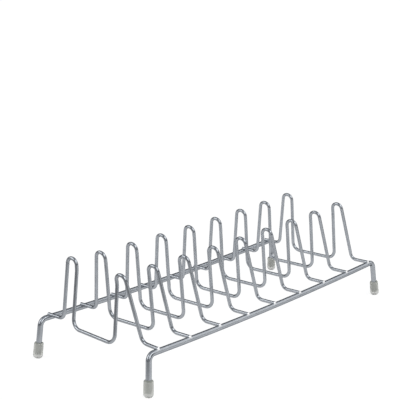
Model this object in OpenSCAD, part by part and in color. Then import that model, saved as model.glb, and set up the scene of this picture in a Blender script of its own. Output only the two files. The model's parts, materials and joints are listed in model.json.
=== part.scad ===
// Wire plate rack: two bowed side rails on bent-down legs, nine cross wires, four push-on foot caps.
// Sizes in millimetres. X runs across the rack, Y along the rails, Z up, floor at zero.

/* [Rack] */
// distance from one cross wire to the next along the rails
pitch = 37.5; // [32:0.5:48]
// length of a cross wire from cut end to cut end
wire_span = 125; // [110:1:150]
// height of the rail centres above the floor at the end wires
rail_height = 33; // [28:0.2:45]
// radius of the gentle sag of the rails
sag_radius = 4900; // [3000:100:9000]

/* [Wire] */
// thickness of the rail and leg wire
rail_d = 4.8; // [3.6:0.1:6]
// thickness of the cross wires
wire_d = 3; // [2:0.1:4]
// how far a cross wire is pressed into the rail by the weld
weld_sink = 1.5; // [0.3:0.1:1.6]
// how far the cut wire ends reach past the centre line of the rail
end_overhang = 1.4; // [0:0.1:4]
// chamfer left on the cut ends of every bar
end_chamfer = 0.3; // [0.1:0.05:0.6]

/* [Fingers] */
// height of the finger tops above the wire ends, measured along the wire centre
finger_height = 54.8; // [40:0.5:75]
// distance of each finger from the middle of the wire
finger_offset = 29.6; // [26:0.2:33]
// radius of the finger tops at the wire centre
finger_radius = 5.2; // [3.6:0.1:6.5]
// distance of the outer foot of each finger from the middle
foot_offset = 43.6; // [41:0.2:46]
// bend radius at the outer foot of each finger
foot_radius = 6; // [5:0.2:11]
// distance of the inner foot of each finger from the middle
crossing_offset = 24.9; // [21:0.2:26]
// bend radius at the inner foot of each finger
crossing_radius = 8; // [4:0.2:10]
// how far the crossing between the fingers lies below the wire ends
crossing_drop = 2.8; // [0:0.1:6]
// how far the crossing is set forward of the fingers
crossing_set = 2.4; // [0.4:0.1:8]
// lean of the fingers toward the front, in degrees
lean = 8; // [0:0.5:12]

/* [First wire] */
// lean of the left finger, in degrees
first_lean_left = 2.3; // [0:0.1:12]
// lean of the right finger, in degrees
first_lean_right = 9.5; // [0:0.1:12]
// height of the left finger top above the wire ends
first_height_left = 55.6; // [40:0.2:75]
// height of the right finger top above the wire ends
first_height_right = 55.2; // [40:0.2:75]
// how far the left end of the crossing lies below the wire ends
first_drop_left = 1.4; // [0:0.1:6]
// how far the left end of the crossing is set forward
first_set_left = 7.3; // [0.4:0.1:12]
// how far the right end of the crossing is set forward
first_set_right = 10.6; // [0.4:0.1:12]
// how far the right finger is set back
first_back_right = 2.2; // [0:0.1:4]

/* [Legs] */
// bend radius between rail and leg at the wire centre
leg_radius = 5.6; // [4.6:0.1:10]
// distance from the end wire to the start of the leg bend
leg_start = 4.4; // [1.6:0.1:10]
// outward splay of the legs along the rack, in degrees
splay = 5.4; // [0:0.1:12]
// outward splay of the legs across the rack, in degrees
side_splay = 3.7; // [0:0.1:8]

/* [Foot caps] */
// greatest diameter of a cap
cap_d = 8.3; // [7.8:0.1:12]
// diameter of a cap at its mouth
cap_mouth_d = 7.9; // [6.8:0.1:8]
// length of a cap along the leg
cap_length = 14; // [9:0.1:18]
// thickness of the closed bottom under the leg end
cap_bottom = 3.6; // [1.5:0.1:4]
// how deep the floor flattens the rounded bottom
cap_flat = 0.4; // [0.2:0.05:0.8]

/* [Hidden] */
bar_facets = 64;
bow_facets = 900;
$fn = bar_facets;
wire_count = 9;

// a bend is drawn this much thinner than the bar, and each straight reaches this far into it
bend_neck = 0.02;
bend_lap = 0.2;

// the inner leg of a finger bends toward the crossing this far under the finger's top bend
kink_drop = 4;
kink_radius = 20;

// stance of one half of a cross wire:
// [lean, forward set of the crossing, finger height, set back, drop of the crossing]
plain_half = [lean, crossing_set, finger_height, 0, crossing_drop];
first_left = [first_lean_left, first_set_left, first_height_left, 0, first_drop_left];
first_right = [first_lean_right, first_set_right, first_height_right, first_back_right,
               crossing_drop];

// rail centre line, end wires at end_y, the leg bend starting at bow_end
rail_x = wire_span / 2 - end_overhang;
end_y = pitch * (wire_count - 1) / 2;
wire_rise = (rail_d + wire_d) / 2 - weld_sink;
rail_low = rail_height - sag_radius + sqrt(sag_radius * sag_radius - end_y * end_y);
bow_angle = asin((end_y + leg_start) / sag_radius);
bow_way = [0, cos(bow_angle), sin(bow_angle)];
bow_end = [rail_x, end_y + leg_start, rail_low + sag_radius * (1 - cos(bow_angle))];

// leg at the back right corner, the others mirror it
leg_way = unit([tan(side_splay), tan(splay), -1]);
leg_tilt = acos(-leg_way[2]);
leg_turn = between(bow_way, leg_way);
leg_twist = twist_about(bow_way, [1, 0, 0], leg_way - (leg_way * bow_way) * bow_way);
leg_top = bow_end + setback(leg_turn, leg_radius) * (bow_way + leg_way);

// cap outline, with the leg end at the origin and the cap's length upward
cap_edge = 3;
cap_lip = 1.3;
cap_low = [cap_d / 2 - cap_edge, cap_edge - cap_bottom];
cap_high = [cap_mouth_d / 2 - cap_lip, cap_length - cap_bottom - cap_lip];
cap_taper = atan2(cap_high[1] - cap_low[1], cap_high[0] - cap_low[0])
            - acos((cap_edge - cap_lip) / norm(cap_high - cap_low));
cap_side = [cos(cap_taper), sin(cap_taper)];

// height of the leg end that brings the lowest point of the tilted cap cap_flat below the floor
leg_end_z = cap_edge - cap_flat - cap_low[1] * cos(leg_tilt) + cap_low[0] * sin(leg_tilt);
leg_length = (leg_end_z - leg_top[2]) / leg_way[2];
leg_end = leg_top + leg_length * leg_way;

steel = [0.62, 0.64, 0.67];
clear_vinyl = [0.80, 0.80, 0.74];

function unit(v) = v / norm(v);
function between(a, b) = acos(max(-1, min(1, unit(a) * unit(b))));

// angle about direction h that turns direction a to direction b, both square to h
function twist_about(h, a, b) = atan2(cross(a, b) * h, a * b);

// how far before a corner of that turn a bend of radius r starts
function setback(turn, r) = r * tan(turn / 2);

// height of the rail centre line at a place along the rack
function rail_z(y) = rail_low + sag_radius - sqrt(sag_radius * sag_radius - y * y);

// last straight of a bar, chamfered at its cut end
module bar_end(d, before, length) {
    rotate_extrude()
        polygon([[0, -before], [d / 2, -before], [d / 2, length - end_chamfer],
                 [d / 2 - end_chamfer, length], [0, length]]);
}

// Bar bent as on a wire bender. Each step is [straight length, twist, turn, bend radius].
// The bar starts at the origin along Z and every bend turns it toward its own X.
module bent_bar(steps, d, i = 0) {
    feed = steps[i][0];
    turn = steps[i][2];
    radius = steps[i][3];
    before = i > 0 ? bend_lap : 0;
    if (turn == 0) {
        bar_end(d, before, feed);
    } else {
        if (feed > 0)
            translate([0, 0, -before])
                cylinder(h = before + feed + bend_lap, d = d);
        translate([0, 0, feed])
            rotate([0, 0, steps[i][1]]) {
                translate([radius, 0, 0])
                    rotate([90, 0, 180])
                        rotate_extrude(angle = turn)
                            translate([radius, 0])
                                circle(d = d - bend_neck);
                translate([radius, 0, 0])
                    rotate([0, turn, 0])
                        translate([-radius, 0, 0])
                            bent_bar(steps, d, i + 1);
            }
    }
}

// draws its children and their mirror image
module both_ways(axis) {
    children();
    mirror(axis)
        children();
}

// draws its children on the right or, mirrored, on the left of the plane square to the axis
module on_side(side, axis) {
    if (side > 0)
        children();
    else
        mirror(axis)
            children();
}

// sagging length of a rail between the leg bends, side is -1 for the left and 1 for the right
module rail_bow(side) {
    translate([side * rail_x, 0, rail_low])
        translate([0, 0, sag_radius])
            rotate([0, 90, 0])
                rotate([0, 0, -bow_angle])
                    rotate_extrude(angle = 2 * bow_angle, $fn = bow_facets)
                        translate([sag_radius, 0])
                            circle(d = rail_d - bend_neck, $fn = bar_facets);
}

// rail with the legs bent down at both ends
module rail(side) {
    color(steel) {
        rail_bow(side);
        on_side(side, [1, 0, 0])
            both_ways([0, 1, 0])
                translate(bow_end - bend_lap * bow_way)
                    rotate([bow_angle - 90, 0, 0])
                        rotate([0, 0, leg_twist])
                            bent_bar([[bend_lap, 0, leg_turn, leg_radius], [leg_length, 0, 0, 0]],
                                     rail_d);
    }
}

// points of a cross wire leaned by a degrees, p is [across, up] in its own plane
function leaned(p, a) = [p[0], -p[1] * sin(a), p[1] * cos(a)];

// point where a line from p touches the finger top round c, on the side away from q
function touch(p, c, q) =
    let (u = unit(p - c),
         v = cross(unit(cross(p - c, q - c)), u),
         t = acos(finger_radius / norm(p - c)))
    c + finger_radius * (cos(t) * u - sin(t) * v);

// corner where the crossing meets a finger of that stance, on the right
function inner_foot(stance) =
    leaned([crossing_offset, -stance[4]], stance[0]) - [0, stance[1], 0];

// right half of a cross wire, from the end of the straight crossing that passes through middle:
// [start, way, normal of the first bend, bending steps]
function half_wire(stance, middle) =
    let (back = [0, stance[3], 0],
         foot = inner_foot(stance),
         aim = leaned([crossing_offset, -stance[4]], stance[0]) + back,
         top = leaned([finger_offset, stance[2] - finger_radius], stance[0]) + back,
         outer = leaned([foot_offset, 0], stance[0]) + back,
         cut_end = [wire_span / 2, 0, 0],
         rise = touch(aim, top, outer),
         fall = touch(outer, top, aim),
         kink = rise + kink_drop * unit(aim - rise),
         h0 = unit(foot - middle),
         h1 = unit(kink - foot),
         h2 = unit(rise - kink),
         h3 = unit(outer - fall),
         h4 = unit(cut_end - outer),
         n1 = unit(cross(h0, h1)),
         n2 = unit(cross(h1, h2)),
         n3 = unit(cross(h2, h3)),
         n4 = unit(cross(h3, h4)),
         t1 = between(h0, h1),
         t2 = between(h1, h2),
         t4 = between(h3, h4))
    [foot - setback(t1, crossing_radius) * h0, h0, n1,
     [[0, 0, t1, crossing_radius],
      [norm(kink - foot) - setback(t1, crossing_radius) - setback(t2, kink_radius),
       twist_about(h1, n1, n2), t2, kink_radius],
      [kink_drop - setback(t2, kink_radius), twist_about(h2, n2, n3), between(h2, h3),
       finger_radius],
      [norm(outer - fall) - setback(t4, foot_radius), twist_about(h3, n3, n4), t4, foot_radius],
      [norm(cut_end - outer) - setback(t4, foot_radius), 0, 0, 0]]];

// puts its children at the start of a drawn half, their Z along it and Y square to its first bend
module at_start(drawn) {
    z = drawn[1];
    x = cross(drawn[2], z);
    y = drawn[2];
    multmatrix([[x[0], y[0], z[0], drawn[0][0]],
                [x[1], y[1], z[1], drawn[0][1]],
                [x[2], y[2], z[2], drawn[0][2]]])
        children();
}

// cross wire with its ends seated on the rails, left and right are the stances of its halves
module wire(number, left, right) {
    y = (number - 1) * pitch - end_y;
    left_foot = inner_foot(left);
    right_foot = inner_foot(right);
    middle = (right_foot + [-left_foot[0], left_foot[1], left_foot[2]]) / 2;
    left_half = half_wire(left, middle);
    right_half = half_wire(right, middle);
    crossing = norm(right_half[0] - middle) + norm(left_half[0] - middle);
    color(steel)
        difference() {
            translate([0, y, rail_z(y) + wire_rise]) {
                at_start(right_half) {
                    bent_bar(right_half[3], wire_d);
                    translate([0, 0, -crossing - bend_lap])
                        cylinder(h = crossing + 2 * bend_lap, d = wire_d);
                }
                mirror([1, 0, 0])
                    at_start(left_half)
                        bent_bar(left_half[3], wire_d);
            }
            rail_bow(-1);
            rail_bow(1);
        }
}

// half outline of a cap with the socket for the leg
module cap_half() {
    difference() {
        union() {
            translate(cap_low)
                circle(r = cap_edge);
            translate(cap_high)
                circle(r = cap_lip);
            translate([0, -cap_bottom])
                square([cap_low[0], cap_edge]);
            polygon([[0, cap_low[1]], cap_low, cap_low + cap_edge * cap_side,
                     cap_high + cap_lip * cap_side, cap_high + [0, cap_lip],
                     [0, cap_high[1] + cap_lip]]);
        }
        square([rail_d / 2, cap_length]);
        translate([-cap_d, -cap_length])
            square([cap_d, 2 * cap_length]);
    }
}

// foot cap pushed on a leg, its bottom flattened by the floor, end is -1 for the front
module cap(side, end) {
    color(clear_vinyl)
        on_side(side, [1, 0, 0])
            on_side(end, [0, 1, 0])
                difference() {
                    translate(leg_end)
                        rotate(a = leg_tilt, v = cross([0, 0, 1], -leg_way))
                            rotate_extrude()
                                cap_half();
                    translate([leg_end[0] - cap_d, leg_end[1] - cap_d, -cap_d])
                        cube([2 * cap_d, 2 * cap_d, cap_d]);
                }
}

rail(-1);  // rail_left
rail(1);  // rail_right
wire(1, first_left, first_right);  // wire_1
wire(2, plain_half, plain_half);  // wire_2
wire(3, plain_half, plain_half);  // wire_3
wire(4, plain_half, plain_half);  // wire_4
wire(5, plain_half, plain_half);  // wire_5
wire(6, plain_half, plain_half);  // wire_6
wire(7, plain_half, plain_half);  // wire_7
wire(8, plain_half, plain_half);  // wire_8
wire(9, plain_half, plain_half);  // wire_9
cap(-1, -1);  // cap_front_left
cap(1, -1);  // cap_front_right
cap(-1, 1);  // cap_back_left
cap(1, 1);  // cap_back_right
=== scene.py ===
# %% [markdown]
# # A table rack of bent wire
# The rack is bent and welded from steel wire: two side rails with legs, nine cross wires with two
# tall narrow fingers each, and four soft caps on the leg ends. The bent wires come from the CAD
# model, because every bend has its real size there. This script gives them their finish, adds
# what a drawing leaves out, and lights the rack as for a catalogue picture.

import json
from math import atan2, cos, pi, radians, sin

import bmesh
import bpy
from mathutils import Matrix, Vector, noise

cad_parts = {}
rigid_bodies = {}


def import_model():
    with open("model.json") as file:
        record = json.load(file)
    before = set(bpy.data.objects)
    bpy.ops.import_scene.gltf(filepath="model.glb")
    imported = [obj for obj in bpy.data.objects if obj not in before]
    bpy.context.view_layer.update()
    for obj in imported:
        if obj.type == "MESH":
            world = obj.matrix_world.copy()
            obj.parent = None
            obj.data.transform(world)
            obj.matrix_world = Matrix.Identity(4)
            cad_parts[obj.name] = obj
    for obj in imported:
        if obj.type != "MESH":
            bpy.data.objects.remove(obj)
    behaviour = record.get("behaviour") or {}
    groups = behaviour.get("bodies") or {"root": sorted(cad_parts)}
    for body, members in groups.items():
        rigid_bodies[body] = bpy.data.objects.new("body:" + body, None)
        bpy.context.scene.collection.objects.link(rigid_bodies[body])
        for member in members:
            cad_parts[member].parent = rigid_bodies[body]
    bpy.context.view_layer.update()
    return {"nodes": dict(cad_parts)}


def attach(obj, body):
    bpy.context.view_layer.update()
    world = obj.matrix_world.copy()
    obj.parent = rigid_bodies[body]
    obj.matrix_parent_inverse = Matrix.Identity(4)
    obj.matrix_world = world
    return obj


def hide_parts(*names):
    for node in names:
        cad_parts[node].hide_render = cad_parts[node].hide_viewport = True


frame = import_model()
mm = 0.001
print("CAD nodes:", ", ".join(sorted(frame["nodes"])))

# %% [markdown]
# ## Colours and nodes
# Colours are picked as sRGB hex values, as in any paint program, while a renderer works in linear
# light, so one function turns them round. A second small function adds a shader node with its
# settings and its links, which keeps each material short enough to read in one go.

# %% Helpers for colours and nodes
def linear(hex_colour):
    channels = [int(hex_colour[i:i + 2], 16) / 255 for i in (1, 3, 5)]
    return tuple(c / 12.92 if c <= 0.04045 else ((c + 0.055) / 1.055) ** 2.4
                 for c in channels) + (1.0,)


def add_node(tree, kind, inputs=None, **settings):
    node = tree.nodes.new(kind)
    for name, value in settings.items():
        setattr(node, name, value)
    for socket, value in (inputs or {}).items():
        if isinstance(value, bpy.types.NodeSocket):
            tree.links.new(value, node.inputs[socket])
        else:
            node.inputs[socket].default_value = value
    return node


def new_tree(owner):
    owner.use_nodes = True
    owner.node_tree.nodes.clear()
    return owner.node_tree


print("the hex value #808080 in linear light:", round(linear("#808080")[0], 3))

# %% [markdown]
# ## Camera
# The picture was taken with a long lens from the front right, looking down by about 14 degrees.
# A long lens could be guessed by eye, but the straight wires give away where their lines meet, so
# its place and angle are worked out from them: the camera stands about a metre from the rack.

# %% Camera at the picture's place and angle
camera_data = bpy.data.cameras.new("camera")
camera_data.sensor_width = 36
camera_data.lens = 102.43
camera_data.clip_start = 0.01
camera = bpy.data.objects.new("camera", camera_data)
camera.location = (0.61939, -0.75675, 0.3562)
camera.rotation_euler = (radians(90 - 13.83), 0, radians(40.33))
bpy.context.scene.collection.objects.link(camera)
bpy.context.scene.camera = camera
print("camera is", round(camera.location.length, 3), "m from the middle of the rack")

# %% [markdown]
# ## The room
# Bare metal shows its room more than its own colour. In a room that is white all round, a wire
# turns into a flat grey strip. So the room has what a studio has: dark walls and a paler ceiling.
# The walls draw the dark line on the top edges of the wires. The wall behind the camera is a little
# paler, or the outer side of each bend would turn black. A colour band's position is the sine of
# its height angle, so 0.6 is 37 degrees above the floor.

# %% Room with darker walls and a pale ceiling
toward_camera = (0.65, -0.76, 0)
room = bpy.data.worlds.new("studio room")
bpy.context.scene.world = room
tree = new_tree(room)
look = add_node(tree, "ShaderNodeTexCoord")
height = add_node(tree, "ShaderNodeSeparateXYZ", {"Vector": look.outputs["Generated"]})
bands = add_node(tree, "ShaderNodeValToRGB", {"Fac": height.outputs["Z"]})
bands.color_ramp.elements[0].position = 0.12
bands.color_ramp.elements[0].color = linear("#494b50")
bands.color_ramp.elements[1].position = 1.0
bands.color_ramp.elements[1].color = linear("#a2a7ae")
for position, colour in ((0.6, "#53565b"), (0.85, "#90959b")):
    bands.color_ramp.elements.new(position).color = linear(colour)
facing = add_node(tree, "ShaderNodeVectorMath", {0: look.outputs["Generated"],
                                                 1: toward_camera}, operation="DOT_PRODUCT")
front = add_node(tree, "ShaderNodeMapRange", {"Value": facing.outputs["Value"],
                                              "From Min": 0.5, "From Max": 0.85})
walls = add_node(tree, "ShaderNodeMix", {"Factor": front.outputs["Result"],
                                         6: bands.outputs["Color"], 7: linear("#6a6c70")},
                 data_type="RGBA", blend_type="ADD")
backdrop = add_node(tree, "ShaderNodeBackground", {"Color": walls.outputs[2], "Strength": 1.0})
add_node(tree, "ShaderNodeOutputWorld", {"Surface": backdrop.outputs[0]})
print("bands of the room:", len(bands.color_ramp.elements))

# %% [markdown]
# ## From a bmesh to a piece
# A bmesh is Blender's workbench for a mesh, and it has to be turned into an object before it shows.
# One helper does that for the floor, the caps and the weld flash. It leaves the object at the
# origin, because the place of each piece is in its mesh.

# %% Helper that finishes a piece
def new_piece(name, bm, material):
    mesh = bpy.data.meshes.new(name)
    bm.to_mesh(mesh)
    bm.free()
    mesh.materials.append(material)
    piece = bpy.data.objects.new(name, mesh)
    bpy.context.scene.collection.objects.link(piece)
    return piece


print("the scene holds", len(bpy.context.scene.collection.all_objects), "objects so far")

# %% [markdown]
# ## Floor
# The rack stands on a plain white floor. A plain diffuse floor would render grey toward the back,
# so most of what the camera sees is the floor's own white, and the rest is lit as usual, which
# keeps a soft shadow under the caps. Far from the rack, where the lamps' light fades, the floor's
# own white makes up for it. The wires mirror the floor too. To them it acts as a lit table, white
# under the rack and dark in front of it and far behind, as in a real studio, so the middle of an
# upright wire turns darker than its two sides.

# %% White floor paint
table_forward = (0.1, -1.0, 0)
table_middle = -0.165
lit_half, dark_half = 0.325, 0.5
floor_paint = bpy.data.materials.new("white floor")
tree = new_tree(floor_paint)
light_path = add_node(tree, "ShaderNodeLightPath")
seen = add_node(tree, "ShaderNodeMath", {0: light_path.outputs["Is Camera Ray"],
                                         1: light_path.outputs["Is Transmission Ray"]},
                operation="MAXIMUM")
place = add_node(tree, "ShaderNodeTexCoord")
forward = add_node(tree, "ShaderNodeVectorMath", {0: place.outputs["Object"],
                                                  1: table_forward}, operation="DOT_PRODUCT")
middle = add_node(tree, "ShaderNodeMath", {0: forward.outputs["Value"], 1: table_middle},
                  operation="SUBTRACT")
off_middle = add_node(tree, "ShaderNodeMath", {0: middle.outputs[0]}, operation="ABSOLUTE")
lit_table = add_node(tree, "ShaderNodeMapRange", {"Value": off_middle.outputs[0],
                                                  "From Min": lit_half, "From Max": dark_half,
                                                  "To Min": 0.9, "To Max": 0.12})
mirrored = add_node(tree, "ShaderNodeMath", {0: light_path.outputs["Is Glossy Ray"],
                                             1: lit_table.outputs["Result"]}, operation="MULTIPLY")
away = add_node(tree, "ShaderNodeVectorMath", {0: place.outputs["Object"]}, operation="LENGTH")
plain_white = add_node(tree, "ShaderNodeMapRange", {"Value": away.outputs["Value"],
                                                    "From Min": 0.5, "From Max": 1.5,
                                                    "To Min": 0.88, "To Max": 1.0})
own = add_node(tree, "ShaderNodeMath", {0: seen.outputs[0], 1: plain_white.outputs["Result"],
                                        2: mirrored.outputs[0]}, operation="MULTIPLY_ADD")
matt = add_node(tree, "ShaderNodeBsdfDiffuse", {"Color": linear("#7c7c7c")})
glow = add_node(tree, "ShaderNodeEmission", {"Color": (1, 1, 1, 1), "Strength": own.outputs[0]})
both = add_node(tree, "ShaderNodeAddShader", {0: matt.outputs[0], 1: glow.outputs[0]})
add_node(tree, "ShaderNodeOutputMaterial", {"Surface": both.outputs[0]})
print("the lit table is", round(2 * lit_half, 2), "m deep")

# %% Floor that keeps the shadow
floor_half = 8
bm = bmesh.new()
bmesh.ops.create_grid(bm, x_segments=1, y_segments=1, size=floor_half)
floor = new_piece("floor", bm, floor_paint)
print("floor is", 2 * floor_half, "m wide")

# %% [markdown]
# ## Lamps
# Round wire shows each lamp as a line, so the lamps are large squares that make the lines soft.
# One at the front left draws the white line on the bends and the crossings, a smaller high one on
# the right lights the inner side of the bends, one behind gives the rails their pale band, and one
# beside the camera lights the soft caps, which mirror nothing.

# %% Soft lamps
def soft_lamp(name, place, side, power, aim=(0, 0, 0.03)):
    data = bpy.data.lights.new(name, "AREA")
    data.shape = "SQUARE"
    data.size = side
    data.energy = power
    lamp = bpy.data.objects.new(name, data)
    lamp.location = place
    lamp.rotation_euler = (Vector(aim) - Vector(place)).to_track_quat("-Z", "Y").to_euler()
    bpy.context.scene.collection.objects.link(lamp)
    return lamp


left_lamp = soft_lamp("left_lamp", (-0.6, -0.86, 0.72), side=1.0, power=6.5)
right_lamp = soft_lamp("right_lamp", (0.8, 0.15, 1.05), side=0.6, power=2.5)
back_lamp = soft_lamp("back_lamp", (0.7, 1.1, 0.8), side=1.4, power=7.3)
front_lamp = soft_lamp("front_lamp", (1.0, -0.6, 0.9), side=1.0, power=6.0)
print("lamps:", left_lamp.name, right_lamp.name, back_lamp.name, front_lamp.name)

# %% [markdown]
# ## Silver coating on steel wire
# The wire is drawn mild steel with a thin satin silver coat, baked on after welding. The coat is
# a metal to the eye: mid grey, darker where the wire turns away, with a soft white line along the
# bends. A plain grey paint would lose that line, so the shader is metallic with a rough gloss. Its
# Specular Tint darkens the rim. The grain of the flakes gives the highlights their broken edge.
# Real flakes are a few hundredths of a millimetre wide, too fine to show, so they are drawn ten
# times coarser. Patches of 9 mm are where the coat is a little thicker or thinner. The sheared
# ends of the cross wires carry a painted highlight: past the wire's end the colour turns near
# white, and the outer edge of the weld flash there takes it too.

# %% Satin silver coating
flake_size = 0.35 * mm
patch_size = 9 * mm
end_highlight_blend = 0.3 * mm


def silver_coat(name, cut_end=None):
    coat = bpy.data.materials.new(name)
    tree = new_tree(coat)
    place = add_node(tree, "ShaderNodeTexCoord")
    flakes = add_node(tree, "ShaderNodeTexNoise", {"Vector": place.outputs["Object"],
                                                   "Scale": 1 / flake_size, "Detail": 2.0})
    patches = add_node(tree, "ShaderNodeTexNoise", {"Vector": place.outputs["Object"],
                                                    "Scale": 1 / patch_size, "Detail": 3.0})
    shade = add_node(tree, "ShaderNodeMapRange", {"Value": patches.outputs["Fac"],
                                                  "From Min": 0.3, "From Max": 0.7})
    colour = add_node(tree, "ShaderNodeMix", {"Factor": shade.outputs["Result"],
                                              6: linear("#a5a9ae"), 7: linear("#b1b5ba")},
                      data_type="RGBA").outputs[2]
    # painted highlight: past the wire's end the colour is mixed to near white
    if cut_end:
        across = add_node(tree, "ShaderNodeSeparateXYZ", {"Vector": place.outputs["Object"]})
        reach = add_node(tree, "ShaderNodeMath", {0: across.outputs["X"]}, operation="ABSOLUTE")
        painted_end_highlight = add_node(tree, "ShaderNodeMapRange", {"Value": reach.outputs[0],
                                                     "From Min": cut_end - end_highlight_blend,
                                                     "From Max": cut_end})
        colour = add_node(tree, "ShaderNodeMix", {"Factor": painted_end_highlight.outputs["Result"], 6: colour,
                                                  7: linear("#fdfdfd")},
                          data_type="RGBA").outputs[2]
    gloss = add_node(tree, "ShaderNodeMapRange", {"Value": flakes.outputs["Fac"],
                                                  "From Min": 0.3, "From Max": 0.7,
                                                  "To Min": 0.18, "To Max": 0.24})
    bump = add_node(tree, "ShaderNodeBump", {"Height": flakes.outputs["Fac"], "Strength": 0.15,
                                             "Distance": 0.03 * mm})
    skin = add_node(tree, "ShaderNodeBsdfPrincipled",
                    {"Base Color": colour, "Metallic": 0.8,
                     "Roughness": gloss.outputs["Result"], "Specular IOR Level": 0.2,
                     "Specular Tint": linear("#6a6e74"),
                     "Normal": bump.outputs["Normal"]})
    add_node(tree, "ShaderNodeOutputMaterial", {"Surface": skin.outputs["BSDF"]})
    return coat


cross_wire_end = 62.42 * mm
rail_silver = silver_coat("silver coated rail wire")
cross_silver = silver_coat("silver coated cross wire", cut_end=cross_wire_end)
for name, node in frame["nodes"].items():
    if name.startswith("rail"):
        node.data.materials[0] = rail_silver
    if name.startswith("wire"):
        node.data.materials[0] = cross_silver
print("coated:", sum(n.startswith(("rail", "wire")) for n in frame["nodes"]), "wires")

# %% [markdown]
# ## Clear vinyl
# The caps are dip-moulded soft PVC: cloudy clear with a faint yellow-green cast, so the end of the
# leg shows through as a darker core inside a paler rim. Real refraction through such a small part
# only turns to noise, so the body lets a part of the light straight through and scatters the rest.
# The clouds in it are about 2.5 mm wide.
# Under the leg end the vinyl is solid and lets more light through, so it is set clearer there. The
# lip at the mouth carries a painted shade: a darker colour stands in for the shadow between the leg
# and the lip.

# %% Cloudy clear vinyl
cloud_size = 2.5 * mm
solid_below, hollow_above = 2.8 * mm, 3.8 * mm
lip_start, lip_full = 12.9 * mm, 13.4 * mm


def clear_vinyl():
    vinyl = bpy.data.materials.new("clear soft PVC")
    tree = new_tree(vinyl)
    place = add_node(tree, "ShaderNodeTexCoord")
    cloud = add_node(tree, "ShaderNodeTexNoise", {"Vector": place.outputs["Object"],
                                                  "Scale": 1 / cloud_size, "Detail": 2.0})
    gloss = add_node(tree, "ShaderNodeMapRange", {"Value": cloud.outputs["Fac"],
                                                  "From Min": 0.3, "From Max": 0.7,
                                                  "To Min": 0.2, "To Max": 0.3})
    colour = add_node(tree, "ShaderNodeMix", {"Factor": cloud.outputs["Fac"],
                                              6: linear("#e2e3d8"), 7: linear("#eaebe3")},
                      data_type="RGBA")
    height = add_node(tree, "ShaderNodeSeparateXYZ", {"Vector": place.outputs["Object"]})
    density = add_node(tree, "ShaderNodeMapRange", {"Value": height.outputs["Z"],
                                                    "From Min": solid_below,
                                                    "From Max": hollow_above,
                                                    "To Min": 0.42, "To Max": 0.7})
    # painted shade: a darker colour on the lip stands in for the shadow between leg and lip
    lip = add_node(tree, "ShaderNodeMapRange", {"Value": height.outputs["Z"],
                                                "From Min": lip_start, "From Max": lip_full})
    lip_painted_shade = add_node(tree, "ShaderNodeMix", {"Factor": lip.outputs["Result"],
                                             6: colour.outputs[2], 7: linear("#a4a69c")},
                     data_type="RGBA")
    body = add_node(tree, "ShaderNodeBsdfPrincipled",
                    {"Base Color": lip_painted_shade.outputs[2], "Roughness": gloss.outputs["Result"],
                     "IOR": 1.53, "Alpha": density.outputs["Result"]})
    add_node(tree, "ShaderNodeOutputMaterial", {"Surface": body.outputs["BSDF"]})
    return vinyl


vinyl = clear_vinyl()
print("vinyl nodes:", len(vinyl.node_tree.nodes))

# %% [markdown]
# ## Foot caps
# Each cap is a small thimble pushed on a leg: a rounded bottom 3.6 mm thick, a body that narrows
# a little toward the mouth, and a soft lip. It could be a closed block, but light has to pass its
# wall and meet the steel inside, so the cap gets its real wall and bore. Half the outline is drawn
# and spun round the leg, then the cap is tilted with the leg and cut flat where it stands.

# %% Foot cap sizes
leg_end = Vector((63.0384, 162.491, 3.3270)) * mm
leg_way = Vector((0.0642471, 0.0939139, -0.993505))
leg_radius = 2.4 * mm
cap_bottom = 3.6 * mm
cap_edge = 3.0 * mm
cap_lip = 1.3 * mm
cap_low = Vector((1.15, 0, -0.6)) * mm
cap_high = Vector((2.65, 0, 9.1)) * mm
grip = 0.05 * mm
bore_radius = leg_radius - grip
mouth_bevel = 0.1 * mm
flat_normal = 0.9999
print("leg leans", round(atan2(leg_way.xy.length, -leg_way.z) * 180 / pi, 2), "degrees")


# %% Spin the caps
def foot_cap(name, side, end):
    bm = bmesh.new()
    outline = [Vector((0, 0, -cap_bottom))]
    outline += [cap_low + cap_edge * Vector((sin(a), 0, -cos(a)))
                for a in [radians(t) for t in range(0, 91, 5)]]
    outline += [cap_high + cap_lip * Vector((cos(a), 0, sin(a)))
                for a in [radians(t) for t in range(0, 91, 10)]]
    outline += [Vector((bore_radius, 0, cap_high.z + cap_lip - mouth_bevel)),
                Vector((bore_radius, 0, grip)), Vector((0, 0, grip))]
    chain = [bm.verts.new(p) for p in outline]
    for a, b in zip(chain, chain[1:]):
        bm.edges.new((a, b))
    bmesh.ops.spin(bm, geom=bm.verts[:] + bm.edges[:], axis=(0, 0, 1), cent=(0, 0, 0), steps=48,
                   angle=2 * pi, use_merge=True)
    bmesh.ops.remove_doubles(bm, verts=bm.verts, dist=0.001 * mm)
    lean = Vector((0, 0, -1)).rotation_difference(leg_way).to_matrix().to_4x4()
    bmesh.ops.transform(bm, matrix=Matrix.Translation(leg_end) @ lean, verts=bm.verts)
    cut = bmesh.ops.bisect_plane(bm, geom=bm.verts[:] + bm.edges[:] + bm.faces[:], dist=1e-7,
                                 plane_co=(0, 0, 0), plane_no=(0, 0, -1), clear_outer=True)
    rim = [e for e in cut["geom_cut"] if isinstance(e, bmesh.types.BMEdge)]
    bmesh.ops.holes_fill(bm, edges=rim)
    bmesh.ops.scale(bm, vec=(side, end, 1), verts=bm.verts)
    bmesh.ops.recalc_face_normals(bm, faces=bm.faces)
    for face in bm.faces:
        face.smooth = abs(face.normal.z) < flat_normal
    return new_piece(name, bm, vinyl)


for end_name, end in (("front", -1), ("back", 1)):
    for side_name, side in (("left", -1), ("right", 1)):
        node = f"cap_{end_name}_{side_name}"
        cap = foot_cap("vinyl_" + node, side, end)
        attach(cap, "root")
        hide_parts(node)
        print(cap.name, "faces:", len(cap.data.polygons))

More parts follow.
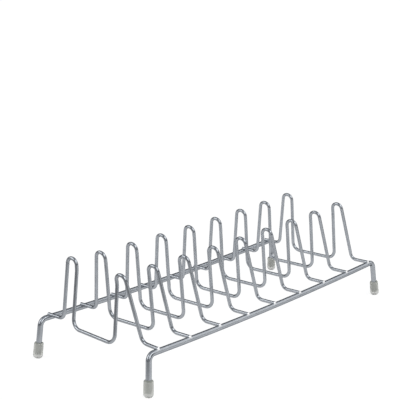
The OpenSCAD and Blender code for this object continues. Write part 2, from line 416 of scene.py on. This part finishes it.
# %% [markdown]
# ## Weld flash
# Each cross wire is pressed into the rail by a resistance weld, which squeezes out a thin bead of
# steel all round the joint. A drawing has a sharp line there, and that sharp line is what makes a
# wire model look like a toy. The bead is a small ring spun from a circle and then laid along the
# saddle line where the two round bars meet. The ring's first size drops out there, and its tube is
# measured in parts of the flash. Noise makes it a little uneven, as a real weld is, and the joint's
# number in the noise gives each joint an unevenness of its own.

# %% Joint sizes
rail_radius = leg_radius
wire_radius = 1.5 * mm
wire_above = 2.4 * mm
end_reach = 1.4 * mm
past_end = 0.1 * mm
sunk = 0.2 * mm
rail_x = 61.1 * mm
pitch = 37.5 * mm
rail_middle = 30.7035 * mm
sag_radius = 4900 * mm
flash = 0.45 * mm
wire_count = 9
reach_round_wire = radians(84)
ring_radius = 2
tube_radius = 0.5
ring_steps = 40
tube_steps = 10


def rail_height(y):
    return rail_middle + sag_radius - (sag_radius ** 2 - y ** 2) ** 0.5


def saddle(turn):
    tilt = reach_round_wire * sin(turn)
    y = wire_radius * sin(tilt)
    z = wire_above - wire_radius * cos(tilt)
    x = max(rail_radius ** 2 - z ** 2, 0) ** 0.5
    if cos(turn) < 0:
        x = -x
    elif x > end_reach:
        x = end_reach + past_end
        z = (rail_radius ** 2 - x ** 2) ** 0.5 - sunk
    return Vector((x, y, z))


print("the bead runs", round((saddle(0) - saddle(pi)).length / mm, 2), "mm across the rail")


# %% Ring of weld flash at one joint
def add_bead(bm, number, side):
    upright = Matrix.Translation((ring_radius, 0, 0)) @ Matrix.Rotation(pi / 2, 4, "X")
    ring = bmesh.ops.create_circle(bm, segments=tube_steps, radius=tube_radius, matrix=upright)
    profile = ring["verts"] + list({e for v in ring["verts"] for e in v.link_edges})
    before = set(bm.verts) - set(ring["verts"])
    bmesh.ops.spin(bm, geom=profile, axis=(0, 0, 1), cent=(0, 0, 0), steps=ring_steps,
                   angle=2 * pi, use_merge=True)
    y = (number - (wire_count + 1) / 2) * pitch
    joint = Vector((rail_x, y, rail_height(y)))
    for vert in set(bm.verts) - before:
        turn = atan2(vert.co.y, vert.co.x)
        out = Vector((cos(turn), sin(turn), 0))
        bulge = 1 + 0.35 * noise.noise(Vector((3 * cos(turn), 3 * sin(turn), 7 * number + side)))
        across = (vert.co.xy.length - ring_radius) * out + Vector((0, 0, vert.co.z))
        vert.co = joint + saddle(turn) + flash * bulge * across
        vert.co.x *= side


print("faces in each bead:", ring_steps * tube_steps)


# %% Weld flash on both rails
def weld_flash(name, side):
    bm = bmesh.new()
    for number in range(1, wire_count + 1):
        add_bead(bm, number, side)
    bmesh.ops.remove_doubles(bm, verts=bm.verts, dist=0.001 * mm)
    bmesh.ops.recalc_face_normals(bm, faces=bm.faces)
    for face in bm.faces:
        face.smooth = True
    # the bead shares the cross wire coat, so its outer edge past the wire end takes the painted
    # highlight too
    return new_piece(name, bm, cross_silver)


for side_name, side in (("left", -1), ("right", 1)):
    beads = weld_flash("weld_flash_" + side_name, side)
    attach(beads, "root")
    print(beads.name, "faces:", len(beads.data.polygons))

# %% [markdown]
# ## Picture settings
# The view transform is Standard, so a colour comes out as it is written.

# %% Finish
bpy.context.scene.view_settings.view_transform = "Standard"
